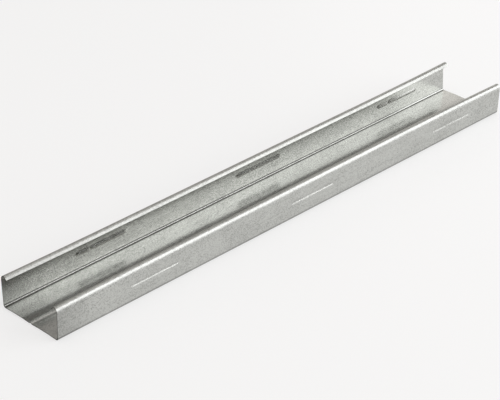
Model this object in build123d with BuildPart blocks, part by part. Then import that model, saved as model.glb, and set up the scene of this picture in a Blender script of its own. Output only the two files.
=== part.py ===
from build123d import *
from math import atan, degrees, radians, sin, sqrt
import os

# Ceiling channel: one strip of galvanised steel sheet, cold rolled into a C with
# inward rolled lips. It lies on its web with the open side up: X runs along it, the
# front flange is at -Y and the back one at +Y, and the origin is at the middle of the
# web's underside. Millimetres.

# Section of the rolled strip
SHEET = 0.6                # thickness of the strip
WEB_WIDTH = 60.0           # over both flanges, outside to outside
FLANGE_HEIGHT = 27.0       # underside of the web to the crown of the lips
CORNER_RADIUS = 1.3        # inside of the bend between web and flange
LIP_RADIUS = 2.2           # outside of the roll that turns a flange into its lip
LIP_DROP = 34.0            # degrees by which the lip slopes down past level
LIP_TAIL = 2.7             # straight stretch from the roll to the lip's cut edge

# Bead rolled along the middle of the web, hollow below and raised inside
BEAD_WIDTH = 2.4
BEAD_RISE = 0.45

# Cut length, and how the flanges spring apart towards the cut ends
LENGTH = 478.0
LEFT_FLARE = 1.0           # how far the top of a flange leans out at the left end
RIGHT_FLARE = 1.5          # the same at the right end
FLARE_REACH = 105.0        # stretch over which that fades into the straight section

# Short grooves pressed into both flanges from outside
GROOVE_LENGTH = 50.0
GROOVE_WIDTH = 3.4
GROOVE_DEPTH = 0.5
GROOVE_RUNOUT = 2.5        # stretch over which a groove fades out at each end
GROOVE_HEIGHT = 14.0       # underside of the web to the groove's middle
GROOVE_PITCH = 163.0
FIRST_GROOVE = 91.5        # left cut end to the middle of the first groove
BREAK_PLACE = 14.0         # groove's left end to the unpressed break in it
BREAK_WIDTH = 3.0
BREAK_EVERY = 2            # the back flange has a break in every second groove

# The strip is drawn along the middle of its thickness
WEB_LEVEL = SHEET / 2
FLANGE_LINE = WEB_WIDTH / 2 - SHEET / 2
CORNER_BEND = CORNER_RADIUS + SHEET / 2
LIP_BEND = LIP_RADIUS - SHEET / 2
WEB_EDGE = (FLANGE_LINE - CORNER_BEND, WEB_LEVEL)
FLARE_START = LENGTH / 2 - FLARE_REACH

# The bead is four equal arcs, a round crown that runs out into two hollow feet
BEAD_TURN = 2 * degrees(atan(2 * BEAD_RISE / BEAD_WIDTH))
BEAD_BEND = BEAD_WIDTH / (4 * sin(radians(BEAD_TURN)))

# A groove is the bite of a round bar that lies along the flange and tapers at its ends
BAR_RADIUS = (GROOVE_WIDTH ** 2 / 4 + GROOVE_DEPTH ** 2) / (2 * GROOVE_DEPTH)
TAPER_RADIUS = (GROOVE_RUNOUT ** 2 + GROOVE_DEPTH ** 2) / (2 * GROOVE_DEPTH)
BREAK_RADIUS = (BREAK_WIDTH ** 2 / 4 + GROOVE_DEPTH ** 2) / (2 * GROOVE_DEPTH)
BAR_LINE = WEB_WIDTH / 2 + BAR_RADIUS - GROOVE_DEPTH
FIRST_X = FIRST_GROOVE - LENGTH / 2
GROOVE_COUNT = 1 + int((LENGTH - FIRST_GROOVE - GROOVE_LENGTH / 2) // GROOVE_PITCH)


def flare_at(x):
    """How far the top of a flange leans out at x: the square of the way into the flared stretch."""
    way = max(0, abs(x) - FLARE_START) / FLARE_REACH
    return (LEFT_FLARE if x < 0 else RIGHT_FLARE) * way ** 2


def flange_section(x):
    """Section of the back flange at x, from its bend off the web to the lip's cut edge."""
    lean = degrees(atan(flare_at(x) / FLANGE_HEIGHT))
    rise = FLANGE_HEIGHT - LIP_RADIUS - WEB_LEVEL - CORNER_BEND
    with BuildSketch(Plane.YZ.offset(x)) as section:
        with BuildLine():
            corner = JernArc(WEB_EDGE, (1, 0), CORNER_BEND, 90 - lean)
            flange = Line(corner @ 1, corner @ 1 + (corner % 1) * rise)
            roll = JernArc(flange @ 1, flange % 1, LIP_BEND, 90 + LIP_DROP)
            Line(roll @ 1, roll @ 1 + (roll % 1) * LIP_TAIL)
        trace(line_width=SHEET)
    return section.sketch


def tapered_bar(skin, broken):
    """Bar beside the back flange whose bite is a groove, with a skin of that thickness all over it."""
    straight = GROOVE_LENGTH / 2 - GROOVE_RUNOUT
    radius = BAR_RADIUS + skin
    tip = straight + sqrt((TAPER_RADIUS + skin) ** 2 - (TAPER_RADIUS - BAR_RADIUS) ** 2)
    with BuildPart() as bar:
        with BuildSketch(Plane(origin=(0, BAR_LINE, GROOVE_HEIGHT))):
            with BuildLine():
                back = Line((-straight, -radius), (straight, -radius))
                TangentArc(back @ 1, (tip, 0), tangent=back % 1)
                TangentArc(back @ 0, (-tip, 0), tangent=-(back % 0))
                Line((-tip, 0), (tip, 0))
            make_face()
            if broken:
                with Locations((BREAK_PLACE - GROOVE_LENGTH / 2, GROOVE_DEPTH - BAR_RADIUS - BREAK_RADIUS)):
                    Circle(BREAK_RADIUS - skin, mode=Mode.SUBTRACT)
        revolve(axis=Axis((0, BAR_LINE, GROOVE_HEIGHT), (1, 0, 0)))
    return bar.part


def ridge(broken):
    """Inner face of a groove, where the pushed-in sheet stands out of the back flange."""
    with BuildPart() as bulge:
        add(tapered_bar(SHEET, broken))
        split(bisect_by=Plane.XZ.offset(-FLANGE_LINE), keep=Keep.TOP)
    return bulge.part


def groove_place(step):
    """Where a groove lies, turned with the leaning flange. It is the chord of the flange's curve."""
    middle = FIRST_X + GROOVE_PITCH * step
    share = GROOVE_HEIGHT / FLANGE_HEIGHT
    left = share * flare_at(middle - GROOVE_LENGTH / 2)
    right = share * flare_at(middle + GROOVE_LENGTH / 2)
    return Location((middle, (left + right) / 2, 0), (0, 0, degrees(atan((right - left) / GROOVE_LENGTH))))


def grooved_flange(break_every):
    """The back flange with its bend, lip and grooves. With break_every at 0 no groove is broken."""
    with BuildPart() as flange:
        extrude(flange_section(-FLARE_START), amount=2 * FLARE_START, dir=(1, 0, 0))
        for end in (-LENGTH / 2, LENGTH / 2):
            start = FLARE_START if end > 0 else -FLARE_START
            loft([flange_section(start), flange_section((start + end) / 2), flange_section(end)])
        for step in range(GROOVE_COUNT):
            broken = break_every > 0 and step % break_every == 0
            with Locations(groove_place(step)):
                add(ridge(broken))
                add(tapered_bar(0, broken), mode=Mode.SUBTRACT)
    return flange.part


with BuildPart() as ceiling_channel:
    # Back half of the web, from the middle of its bead to the bend
    with BuildSketch(Plane.YZ.offset(-LENGTH / 2)):
        with BuildLine():
            crown = CenterArc((0, WEB_LEVEL + BEAD_RISE - BEAD_BEND), BEAD_BEND, 90, -BEAD_TURN)
            foot = CenterArc((BEAD_WIDTH / 2, WEB_LEVEL + BEAD_BEND), BEAD_BEND, 270 - BEAD_TURN, BEAD_TURN)
            Line(foot @ 1, WEB_EDGE)
        trace(line_width=SHEET)
        mirror(about=Plane.YZ)
    extrude(amount=LENGTH)
    # Front flange, made as a back one and turned over
    add(grooved_flange(0))
    mirror(about=Plane.XZ, mode=Mode.REPLACE)
    add(grooved_flange(BREAK_EVERY))

ceiling_channel.part.label = "ceiling_channel"
os.makedirs("parts", exist_ok=True)
export_step(ceiling_channel.part, "parts/ceiling_channel.step")
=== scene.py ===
from math import atan, cos, degrees, pi, radians, sin

import bmesh
import bpy
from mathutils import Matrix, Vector


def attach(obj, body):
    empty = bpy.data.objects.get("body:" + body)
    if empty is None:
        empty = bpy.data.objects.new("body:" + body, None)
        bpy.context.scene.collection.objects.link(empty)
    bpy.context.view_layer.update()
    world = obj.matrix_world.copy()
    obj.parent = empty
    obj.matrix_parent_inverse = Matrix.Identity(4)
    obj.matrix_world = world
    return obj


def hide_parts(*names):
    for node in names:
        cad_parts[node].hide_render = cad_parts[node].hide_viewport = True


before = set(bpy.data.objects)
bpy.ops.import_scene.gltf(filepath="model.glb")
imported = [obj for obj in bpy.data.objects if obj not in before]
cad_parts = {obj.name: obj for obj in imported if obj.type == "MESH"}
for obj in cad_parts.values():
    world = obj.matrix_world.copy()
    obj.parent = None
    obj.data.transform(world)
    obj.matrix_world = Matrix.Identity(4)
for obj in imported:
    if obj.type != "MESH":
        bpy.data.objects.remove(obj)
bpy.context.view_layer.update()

# Camera: stands left of the near end and looks down along the channel, at the angle of
# the photo. Angles in degrees, place in metres, fitted to the object's edges.
CAMERA_TURN, CAMERA_TILT = -44.657, 30.509
CAMERA_PLACE = (-0.92899, -0.91716, 0.77096)
CAMERA_LENS = 140.89
CAMERA_REACH = 20

camera = bpy.data.objects.new("camera", bpy.data.cameras.new("camera"))
bpy.context.scene.collection.objects.link(camera)
bpy.context.scene.camera = camera
camera.location = CAMERA_PLACE
camera.rotation_euler = (radians(90 - CAMERA_TILT), 0, radians(CAMERA_TURN))
camera.data.lens = CAMERA_LENS
camera.data.clip_end = CAMERA_REACH

# Rolled sheet: one strip of 0.6 mm galvanised steel that the mill bends into a C with
# a bead along the web and rolled lips. It is drawn here along the middle of the sheet,
# back half first, by turning the web's edge through each bend as the rolls do.
MM = 0.001
NEAR = 0.01 * MM
SHEET = 0.6 * MM
LENGTH = 478 * MM
FLANGE_HEIGHT = 27 * MM
WEB_LEVEL = SHEET / 2
FLANGE_LINE = 30 * MM - SHEET / 2
CORNER_BEND, CORNER_TURN = 1.6 * MM, 90
SHOULDER_BEND, SHOULDER_TURN = 5.0 * MM, 41
LIP_BEND, LIP_TURN = 2.1 * MM, 140
LIP_TAIL = 2.0 * MM
BEAD_FOOT = 1.5 * MM
BEAD_RISE = 0.65 * MM
BEAD_TURN = 2 * degrees(atan(BEAD_RISE / BEAD_FOOT))
BEAD_BEND = BEAD_FOOT / (2 * sin(radians(BEAD_TURN)))
CORNER_LINE = FLANGE_LINE - CORNER_BEND
CORNER_LEVEL = WEB_LEVEL + CORNER_BEND
LIP_LEVEL = FLANGE_HEIGHT - SHEET / 2 - LIP_BEND
SHOULDER_LINE = FLANGE_LINE - SHOULDER_BEND
SHOULDER_LEVEL = LIP_LEVEL - (SHOULDER_BEND - LIP_BEND) * sin(radians(SHOULDER_TURN))
LIP_LINE = SHOULDER_LINE + (SHOULDER_BEND - LIP_BEND) * cos(radians(SHOULDER_TURN))


def pick_edge(y, z):
    """Selects only the long edge of the strip that lies at that place of the section."""
    bpy.ops.mesh.select_all(action="DESELECT")
    strip = bmesh.from_edit_mesh(bpy.context.object.data)
    for vertex in strip.verts:
        if abs(vertex.co.y - y) < NEAR and abs(vertex.co.z - z) < NEAR:
            vertex.select = True
    strip.select_flush(True)


def roll(turn, middle, steps):
    """Bends a new stretch of sheet off the selected edge, about a line along the channel."""
    bpy.ops.mesh.spin(steps=steps, angle=radians(-turn), center=(0, *middle), axis=(1, 0, 0))


def carry_on(across, up):
    """Carries the sheet on from the selected edge in a straight stretch."""
    bpy.ops.mesh.extrude_region_move(TRANSFORM_OT_translate={"value": (0, across, up)})


bpy.ops.object.select_all(action="DESELECT")
web_middle = (BEAD_FOOT + CORNER_LINE) / 2
bpy.ops.mesh.primitive_plane_add(size=1, location=(0, web_middle, WEB_LEVEL))
channel = bpy.context.object
channel.name = channel.data.name = "rolled_channel"
channel.scale = (LENGTH, CORNER_LINE - BEAD_FOOT, 1)
bpy.ops.object.transform_apply(location=True, rotation=True, scale=True)
bpy.ops.object.mode_set(mode="EDIT")
bpy.ops.mesh.select_mode(type="VERT")
pick_edge(CORNER_LINE, WEB_LEVEL)
roll(CORNER_TURN, (CORNER_LINE, CORNER_LEVEL), steps=8)
carry_on(0, SHOULDER_LEVEL - CORNER_LEVEL)
roll(SHOULDER_TURN, (SHOULDER_LINE, SHOULDER_LEVEL), steps=10)
roll(LIP_TURN - SHOULDER_TURN, (LIP_LINE, LIP_LEVEL), steps=12)
tail_heading = radians(LIP_TURN + 90)
carry_on(LIP_TAIL * cos(tail_heading), LIP_TAIL * sin(tail_heading))
pick_edge(BEAD_FOOT, WEB_LEVEL)
roll(-BEAD_TURN, (BEAD_FOOT, WEB_LEVEL + BEAD_BEND), steps=4)
roll(BEAD_TURN, (0, WEB_LEVEL + BEAD_RISE - BEAD_BEND), steps=4)

# Pressed and sprung sheet: it is first divided where it will be shaped. Grooves are
# pressed into both flanges from outside, the web bows up a little on both sides of its
# bead, and the flanges spring apart towards the cut ends. Then it gets its thickness.
GROOVE_REACH = 25 * MM
GROOVE_RUNOUT = 3.2 * MM
GROOVE_FULL = GROOVE_REACH - GROOVE_RUNOUT
GROOVE_HALF_WIDTH = 1.8 * MM
GROOVE_DEPTH = 0.5 * MM
GROOVE_HEIGHT = 14 * MM
FIRST_GROOVE, GROOVE_PITCH = 91.5 * MM, 163 * MM
GROOVE_MIDDLES = [FIRST_GROOVE + GROOVE_PITCH * step - LENGTH / 2 for step in range(3)]
BREAK_AT = 14 * MM
BREAK_HALF_WIDTH = 1.9 * MM
BREAK_EVERY = 2
FLARE_REACH = 105 * MM
LEFT_FLARE, RIGHT_FLARE = 1.0 * MM, 1.5 * MM
LIP_REACH = 6 * MM
BOW_FOOT, BOW_TOP = 1.5 * MM, 10 * MM
BOW_FALL = 17 * MM
BOW_RISE = 0.36 * MM
PLAIN_ROWS = [4 * MM, 8 * MM, 11 * MM, 17 * MM, 20.5 * MM]
WEB_ROWS = (2.6 * MM, 26 * MM)
MERGE = 0.002 * MM
EDGE_BREAK = 0.07 * MM
SHARP_TURN, SMOOTH_TURN = 60, 40


def spread(first, last, parts):
    """Places that divide a stretch into equal parts, with both of its ends."""
    return [first + (last - first) * step / parts for step in range(parts + 1)]


rows = spread(GROOVE_HEIGHT - GROOVE_HALF_WIDTH, GROOVE_HEIGHT + GROOVE_HALF_WIDTH, 10)
rows += PLAIN_ROWS
stations = spread(LENGTH / -2, LENGTH / 2, 40)[1:-1]
for middle in GROOVE_MIDDLES:
    for side in (-1, 1):
        stations += spread(middle + side * GROOVE_REACH, middle + side * GROOVE_FULL, 6)
for middle in GROOVE_MIDDLES[::BREAK_EVERY]:
    broken = middle - GROOVE_REACH + BREAK_AT
    stations += spread(broken - BREAK_HALF_WIDTH, broken + BREAK_HALF_WIDTH, 8)
cuts = [((0, 0, z), (0, 0, 1)) for z in rows]
cuts += [((x, 0, 0), (1, 0, 0)) for x in stations]
cuts += [((0, y, 0), (0, 1, 0)) for y in spread(*WEB_ROWS, 18)]
for place, heading in cuts:
    bpy.ops.mesh.select_all(action="SELECT")
    bpy.ops.mesh.bisect(plane_co=place, plane_no=heading)
bpy.ops.mesh.select_all(action="SELECT")
bpy.ops.mesh.remove_doubles(threshold=MERGE)
bpy.ops.object.mode_set(mode="OBJECT")
halves = channel.modifiers.new("halves", "MIRROR")
halves.use_axis = (False, True, False)
halves.merge_threshold = MERGE
bpy.ops.object.modifier_apply(modifier="halves")


def ease(share):
    """1 at the middle of a press tool, 0 at its rim and beyond, with a soft shoulder between."""
    return 0.5 + 0.5 * cos(pi * min(1, abs(share)))


def pressed(x, z, back):
    """How far the sheet is pushed in at that place of the back flange or of the front one."""
    depth = 0
    for number, middle in enumerate(GROOVE_MIDDLES):
        past_full = max(0, abs(x - middle) - GROOVE_FULL)
        bite = ease(past_full / GROOVE_RUNOUT)
        if back and number % BREAK_EVERY == 0:
            bite *= 1 - ease((x - middle + GROOVE_REACH - BREAK_AT) / BREAK_HALF_WIDTH)
        depth = max(depth, bite)
    return GROOVE_DEPTH * depth * ease((z - GROOVE_HEIGHT) / GROOVE_HALF_WIDTH)


def flare(x, z):
    """How far the sheet leans out at that place, most at the lips of the cut ends."""
    way = max(0, abs(x) - LENGTH / 2 + FLARE_REACH) / FLARE_REACH
    lean = (LEFT_FLARE if x < 0 else RIGHT_FLARE) * way ** 2
    return lean * max(0, z - WEB_LEVEL) / FLANGE_HEIGHT


def bow(y):
    """How far the web bows up at that distance from its middle."""
    climb = 1 - ease((y - BOW_FOOT) / (BOW_TOP - BOW_FOOT)) if y > BOW_FOOT else 0
    drop = 1 - ease((y - BOW_FALL) / (CORNER_LINE - BOW_FALL)) if y > BOW_FALL else 0
    return BOW_RISE * (climb - drop)


def turn_faces_out():
    """Turns the faces of the sheet all one way, which is outwards once it has thickness."""
    bpy.ops.object.mode_set(mode="EDIT")
    bpy.ops.mesh.select_all(action="SELECT")
    bpy.ops.mesh.normals_make_consistent(inside=False)
    bpy.ops.object.mode_set(mode="OBJECT")


for vertex in channel.data.vertices:
    x, y, z = vertex.co
    if abs(y) < CORNER_LINE and z < WEB_LEVEL + NEAR:
        vertex.co.z += bow(abs(y))
    if abs(y) > CORNER_LINE - LIP_REACH:
        back = y > 0
        on_flange = abs(y) > FLANGE_LINE - NEAR
        shift = flare(x, z) - (pressed(x, z, back) if on_flange else 0)
        vertex.co.y += shift if back else -shift

turn_faces_out()
walls = channel.modifiers.new("sheet", "SOLIDIFY")
walls.thickness = SHEET
walls.offset = 0
walls.use_even_offset = True
bpy.ops.object.modifier_apply(modifier="sheet")
cut = channel.modifiers.new("cut", "BEVEL")
cut.width = EDGE_BREAK
cut.segments = 1
cut.limit_method = "ANGLE"
cut.angle_limit = radians(SHARP_TURN)
bpy.ops.object.modifier_apply(modifier="cut")
turn_faces_out()
bpy.ops.object.shade_smooth_by_angle(angle=radians(SMOOTH_TURN))

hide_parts("ceiling_channel")
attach(channel, "root")


# Galvanised finish: a thin coat of zinc with a fine even grain, cloudy patches and streaks
# along the length. Painted shade darkens the lips, the corner bends, two fine lines along
# each bend and the near end. Lips, bends and the near end are darkened to the photo's
# levels, which may be its light rather than the zinc. The cut ends show darker bare steel.
class Finish:
    """One value or colour of a material. Sums and products of values add Math nodes."""

    def __init__(self, tree, output=None):
        self.tree, self.output = tree, output

    def node(self, kind, settings=(), inputs=(), output=0):
        made = self.tree.nodes.new(kind)
        for name, value in dict(settings).items():
            setattr(made, name, value)
        for name, value in dict(inputs).items():
            if isinstance(value, Finish):
                value.feed(made.inputs[name])
            else:
                made.inputs[name].default_value = value
        return Finish(self.tree, made.outputs[output])

    def feed(self, socket):
        """Links this value or colour to a socket."""
        self.tree.links.new(self.output, socket)

    def math(self, operation, *values):
        return self.node("ShaderNodeMath", {"operation": operation}, enumerate(values))

    def __add__(self, other):
        return self.math("ADD", self, other)

    def __sub__(self, other):
        return self.math("SUBTRACT", self, other)

    def __mul__(self, other):
        return self.math("MULTIPLY", self, other)

    def __radd__(self, other):
        return self.math("ADD", other, self)

    def __rsub__(self, other):
        return self.math("SUBTRACT", other, self)

    def __rmul__(self, other):
        return self.math("MULTIPLY", other, self)

    def unsigned(self):
        """This value without its sign."""
        return self.math("ABSOLUTE", self)

    def axis(self, name):
        """The X, Y or Z of a place."""
        return self.node("ShaderNodeSeparateXYZ", {}, {"Vector": self}, name)

    def noise(self, size, detail, roughness):
        """Soft noise at a place, with spots of about that size."""
        inputs = {"Vector": self, "Scale": 1 / size, "Detail": detail, "Roughness": roughness}
        return self.node("ShaderNodeTexNoise", {}, inputs)

    def fade(self, start, stop, curve="SMOOTHSTEP"):
        """0 while this value is short of the start, 1 when it is past the stop."""
        inputs = {"Value": self, "From Min": start, "From Max": stop}
        return self.node("ShaderNodeMapRange", {"interpolation_type": curve}, inputs)

    def mix(self, first, second):
        """Colour that goes from the first to the second as this value goes from 0 to 1."""
        inputs = {0: self, 6: first, 7: second}
        return self.node("ShaderNodeMix", {"data_type": "RGBA"}, inputs, 2)


ZINC = (0.300, 0.303, 0.287, 1)
ZINC_LIGHT = (0.540, 0.545, 0.520, 1)
BLACK = (0, 0, 0, 1)
CUT_STEEL = (0.035, 0.033, 0.03, 1)
GRAIN_SIZE = 0.75 * MM
SPANGLE_SIZE = 1.25 * MM
CLOUD_SIZE = 22 * MM
STREAK_WIDTH, STREAK_STRETCH = 2 * MM, 0.03
GRAIN_SHARE, SPANGLE_SHARE, CLOUD_SHARE, STREAK_SHARE = 2.0, 0.3, 0.5, 0.4
DARK_TONE, LIGHT_TONE = 1.12, 1.77
CUT_SKIN = 0.03 * MM
# Painted shade: how far it reaches over the near end, and how much darker it makes the near end,
# lips, bend bands and bend lines.
NEAR_END_REACH, NEAR_END_PAINTED_SHADE = 42 * MM, 0.20
LIP_LEVELS, LIP_PAINTED_SHADE = (22 * MM, 25 * MM), 0.13
BEND_LEVELS, BEND_LINES, BEND_PAINTED_SHADE = (2.2 * MM, 1.4 * MM), (27.9 * MM, 28.5 * MM), 0.15
UPPER_LINE, LOWER_LINE, LINE_PAINTED_SHADE = 1.95 * MM, 28 * MM, 0.42
LINE_HALF_WIDTH, LINE_CORE = 0.5 * MM, 0.2 * MM
WEB_TOP = 3 * MM
BASE_ROUGHNESS, TONE_ROUGHNESS, LIP_ROUGHNESS, CUT_ROUGHNESS = 0.20, 0.06, 0.13, 0.25
GRAIN_RELIEF, SPANGLE_RELIEF, CLOUD_RELIEF = 0.45, 0.2, 0.2
RELIEF_DEPTH, RELIEF_STRENGTH = 0.02 * MM, 0.35

galvanised = bpy.data.materials.new("galvanised_steel")
galvanised.use_nodes = True
surface = galvanised.node_tree.nodes["Principled BSDF"]
place = Finish(galvanised.node_tree).node("ShaderNodeTexCoord", output="Object")
along, across, height = place.axis("X"), place.axis("Y"), place.axis("Z")
from_middle, from_web_middle = along.unsigned(), across.unsigned()


def fine_line(value, middle):
    """1 along a fine line where the value is close to the middle, 0 beside it."""
    return (value - middle).unsigned().fade(LINE_HALF_WIDTH, LINE_CORE, "LINEAR")


grain = place.noise(GRAIN_SIZE, 1.5, 0.6)
spangle_inputs = {"Vector": place, "Scale": 1 / SPANGLE_SIZE}
spangle = place.node("ShaderNodeTexVoronoi", {"feature": "F1"}, spangle_inputs, "Color")
spangle_tone = spangle.node("ShaderNodeSeparateColor", {}, {"Color": spangle})
cloud = place.noise(CLOUD_SIZE, 4.0, 0.55)
stretched = place.node(
    "ShaderNodeMapping", {}, {"Vector": place, "Scale": (STREAK_STRETCH, 1.0, 1.0)})
streaks = stretched.noise(STREAK_WIDTH, 1.5, 0.6)
tone = grain * GRAIN_SHARE + spangle_tone * SPANGLE_SHARE
tone = tone + cloud * CLOUD_SHARE + streaks * STREAK_SHARE
tone = tone.fade(DARK_TONE, LIGHT_TONE, "LINEAR")

ends = from_middle.math("GREATER_THAN", from_middle, LENGTH / 2 - CUT_SKIN)
# Painted shade on the near end: darkest at its cut, gone NEAR_END_REACH further in.
near_end_shade = along.fade(NEAR_END_REACH - LENGTH / 2, LENGTH / -2)
# lips marks the rolled lips: it sets their painted shade and makes them rougher.
lips = height.fade(*LIP_LEVELS)
# Painted shade in the corner bends between the web and the flanges.
bends = height.fade(*BEND_LEVELS) * from_web_middle.fade(*BEND_LINES)
# Painted shade: two fine dark lines along each corner bend, where it meets the flange and where
# it meets the web.
low = height.math("LESS_THAN", height, WEB_TOP)
painted_bend_lines = fine_line(height, UPPER_LINE) + fine_line(from_web_middle, LOWER_LINE) * low
# All the painted shade together, sparing the lips from the near-end shade; it darkens the zinc
# colour towards black.
shade = 1 - near_end_shade * NEAR_END_PAINTED_SHADE * (1 - lips) - lips * LIP_PAINTED_SHADE
shade = shade - bends * BEND_PAINTED_SHADE - painted_bend_lines * LINE_PAINTED_SHADE
colour = ends.mix(shade.mix(BLACK, tone.mix(ZINC, ZINC_LIGHT)), CUT_STEEL)
colour.feed(surface.inputs["Base Color"])
roughness = BASE_ROUGHNESS + tone * TONE_ROUGHNESS
roughness = roughness + lips * LIP_ROUGHNESS + ends * CUT_ROUGHNESS
roughness.feed(surface.inputs["Roughness"])
relief = grain * GRAIN_RELIEF + spangle_tone * SPANGLE_RELIEF + cloud * CLOUD_RELIEF
relief_inputs = {"Height": relief, "Strength": RELIEF_STRENGTH, "Distance": RELIEF_DEPTH}
bump = relief.node("ShaderNodeBump", {}, relief_inputs)
bump.feed(surface.inputs["Normal"])
surface.inputs["Metallic"].default_value = 1.0
channel.data.materials.clear()
channel.data.materials.append(galvanised)

# Paper floor: a plain white sheet that the channel lies on, just under its web. It is
# seen near white from the camera and in the metal, and still takes the faint shadow.
FLOOR_RADIUS = 6
FLOOR_GAP = 0.2 * MM
PAPER = (0.93, 0.93, 0.93, 1)
PAPER_ROUGHNESS = 0.35
PAPER_WHITE = 0.6

bpy.ops.object.select_all(action="DESELECT")
bpy.ops.mesh.primitive_circle_add(
    vertices=64, radius=FLOOR_RADIUS, fill_type="NGON", location=(0, 0, -FLOOR_GAP))
floor = bpy.context.object
floor.name = floor.data.name = "floor"
paper = bpy.data.materials.new("floor_paper")
paper.use_nodes = True
paper_shader = paper.node_tree.nodes["Principled BSDF"]
paper_shader.inputs["Base Color"].default_value = PAPER
paper_shader.inputs["Roughness"].default_value = PAPER_ROUGHNESS
lit_paper = Finish(paper.node_tree, paper_shader.outputs[0])
shown = lit_paper.node("ShaderNodeLightPath", output="Is Camera Ray")
for ray in ("Is Glossy Ray", "Is Transmission Ray"):
    shown = shown + lit_paper.node("ShaderNodeLightPath", output=ray)
shown = shown.math("MINIMUM", shown, 1.0) * PAPER_WHITE
white_paper = lit_paper.node("ShaderNodeEmission")
blend = lit_paper.node("ShaderNodeMixShader", {}, {0: shown, 1: lit_paper, 2: white_paper})
blend.feed(paper.node_tree.nodes["Material Output"].inputs["Surface"])
floor.data.materials.append(paper)

# Studio: a large soft box stands well away at the front right and reaches down to the
# floor, a small warm card fills from the back right, a weak lamp hangs above, and the
# room is dim and warm.
ROOM_TONE = (0.53, 0.508, 0.490, 1)


def soft_lamp(name, place, aim, size, brightness, tint):
    """A rectangular lamp whose face is turned to the aim and has that brightness."""
    lamp = bpy.data.objects.new(name, bpy.data.lights.new(name, "AREA"))
    bpy.context.scene.collection.objects.link(lamp)
    lamp.location = place
    lamp.rotation_euler = (lamp.location - Vector(aim)).to_track_quat("Z", "Y").to_euler()
    lamp.data.shape = "RECTANGLE"
    lamp.data.size, lamp.data.size_y = size
    lamp.data.energy = brightness * pi * size[0] * size[1]
    lamp.data.color = tint


soft_lamp("side_box", place=(1.215, -1.448, 0.745), aim=(0, 0, 0.02), size=(2.1, 1.36),
          brightness=2.75, tint=(0.955, 0.97, 1.0))
soft_lamp("back_card", place=(1.15, 0.60, 0.42), aim=(0, 0, 0.02), size=(0.65, 0.55),
          brightness=0.75, tint=(1.0, 0.975, 0.955))
soft_lamp("top_lamp", place=(0.1, -0.1, 1.9), aim=(0, 0, 0), size=(2.0, 2.0),
          brightness=0.6, tint=(1.0, 1.0, 1.0))

room = bpy.data.worlds.new("room")
bpy.context.scene.world = room
room.use_nodes = True
room.node_tree.nodes["Background"].inputs["Color"].default_value = ROOM_TONE
room.node_tree.nodes["Background"].inputs["Strength"].default_value = 1.0

bpy.context.scene.view_settings.view_transform = "Standard"
